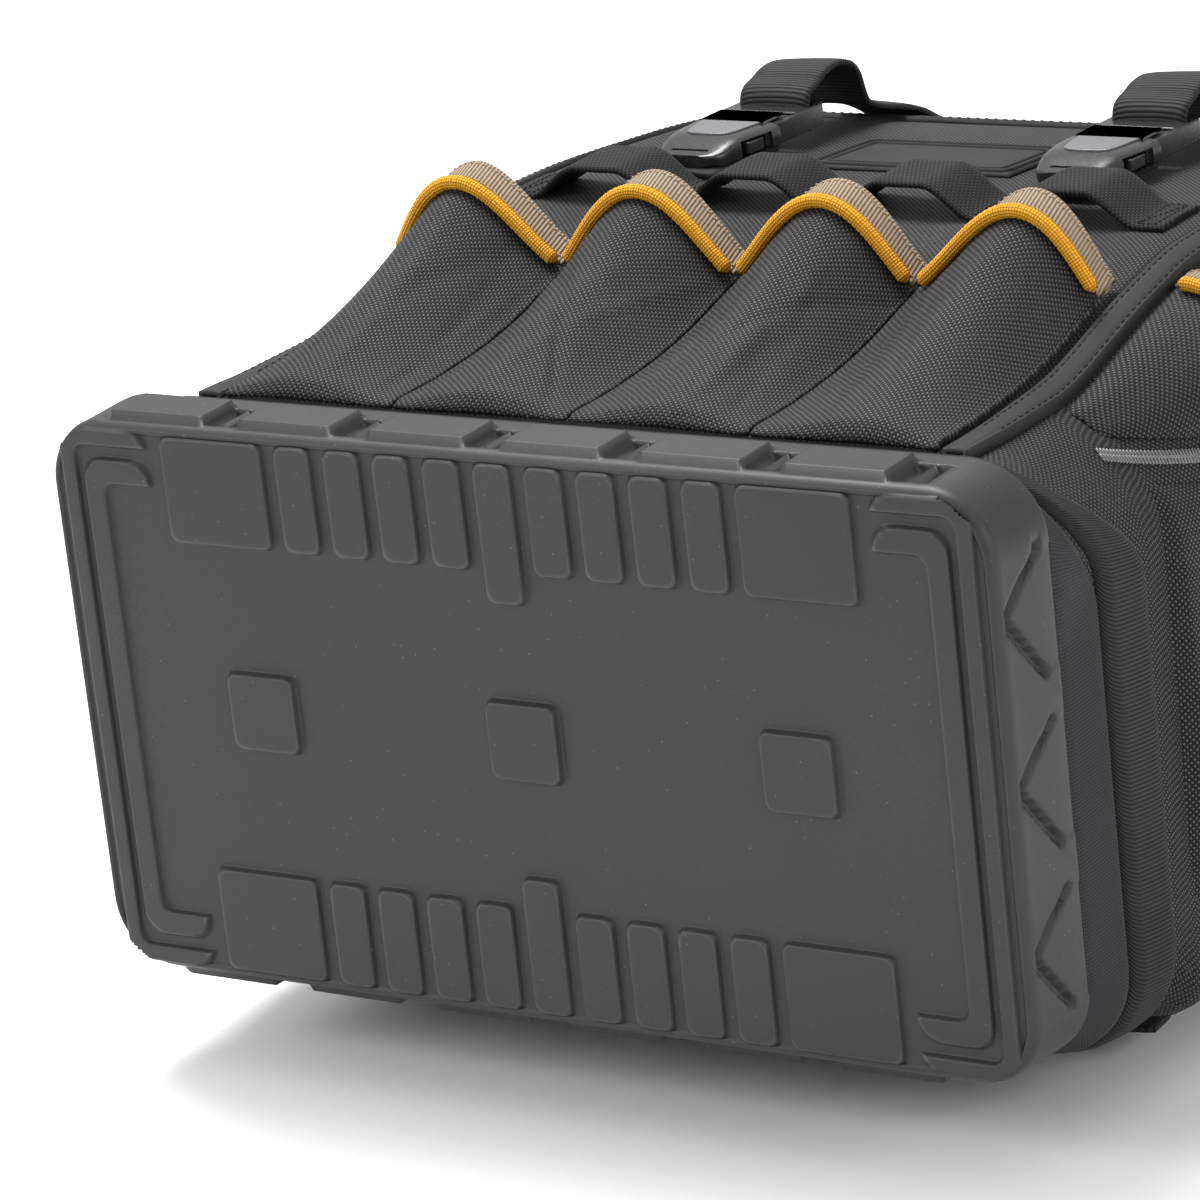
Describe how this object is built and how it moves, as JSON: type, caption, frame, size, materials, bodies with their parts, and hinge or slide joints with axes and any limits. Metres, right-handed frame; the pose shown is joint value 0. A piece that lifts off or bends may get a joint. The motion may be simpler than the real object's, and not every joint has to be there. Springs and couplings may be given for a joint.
{
  "type": "tool backpack",
  "caption": "Black tool backpack with a moulded rubber base tray, pleated front tool pockets in tan and gold trim, elastic tool loops and side-release buckles, lying on its back.",
  "frame": {"origin": "centre of the bounding box in X and Y, at the lowest plane of the shoulder straps, on which the pack lies", "axes": "X is the width of the pack, left to right as seen from the pocket side with the base towards the viewer. Y runs from the ground face of the base tray towards the top of the pack. Z runs from the carrying side up to the pocket side."},
  "size_m": [0.352, 0.4872, 0.252],
  "materials": {
    "moulded_rubber": "satin, fine light flecks",
    "ballistic_cloth": "coarse basket weave, matt",
    "smooth_cloth": "fine plain weave, matt",
    "tan_binding": "ribbed grosgrain",
    "gold_piping": "knitted cord",
    "black_webbing": "ribbed woven webbing",
    "black_elastic": "fine woven elastic",
    "edge_tape": "smooth folded tape, stitched",
    "black_plastic": "glossy moulded",
    "zip_coil": "coil teeth"
  },
  "bodies": {
    "root": {"back_pad": "smooth_cloth", "badge_outline_inner": "smooth_cloth", "badge_outline_outer": "smooth_cloth", "badge_patch": "smooth_cloth", "bag_shell": "ballistic_cloth", "base_tray": "moulded_rubber", "buckle_plug_left": "black_plastic", "buckle_plug_right": "black_plastic", "buckle_socket_left": "black_plastic", "buckle_socket_right": "black_plastic", "buckle_strap_left": "black_webbing", "buckle_strap_right": "black_webbing", "buckle_tab_left": "black_webbing", "buckle_tab_right": "black_webbing", "corner_pocket_left": "ballistic_cloth", "corner_pocket_left_binding": "tan_binding", "corner_pocket_left_piping": "gold_piping", "corner_pocket_right": "ballistic_cloth", "corner_pocket_right_binding": "tan_binding", "corner_pocket_right_piping": "gold_piping", "edge_tape_left": "edge_tape", "edge_tape_right": "edge_tape", "edge_tape_top": "edge_tape", "foot_band": "smooth_cloth", "front_panel": "ballistic_cloth", "grab_handle": "black_webbing", "pocket_1": "ballistic_cloth", "pocket_1_binding": "tan_binding", "pocket_1_piping": "gold_piping", "pocket_2": "ballistic_cloth", "pocket_2_binding": "tan_binding", "pocket_2_piping": "gold_piping", "pocket_3": "ballistic_cloth", "pocket_3_binding": "tan_binding", "pocket_3_piping": "gold_piping", "pocket_4": "ballistic_cloth", "pocket_4_binding": "tan_binding", "pocket_4_piping": "gold_piping", "ribbed_band": "black_webbing", "shoulder_strap_left": "smooth_cloth", "shoulder_strap_right": "smooth_cloth", "side_pocket_left": "ballistic_cloth", "side_pocket_right": "ballistic_cloth", "side_zip_left": "zip_coil", "side_zip_right": "zip_coil", "strap_anchor_left": "smooth_cloth", "strap_anchor_right": "smooth_cloth", "strap_webbing_left": "black_webbing", "strap_webbing_right": "black_webbing", "tool_loops": "black_elastic"}
  },
  "joints": []
}
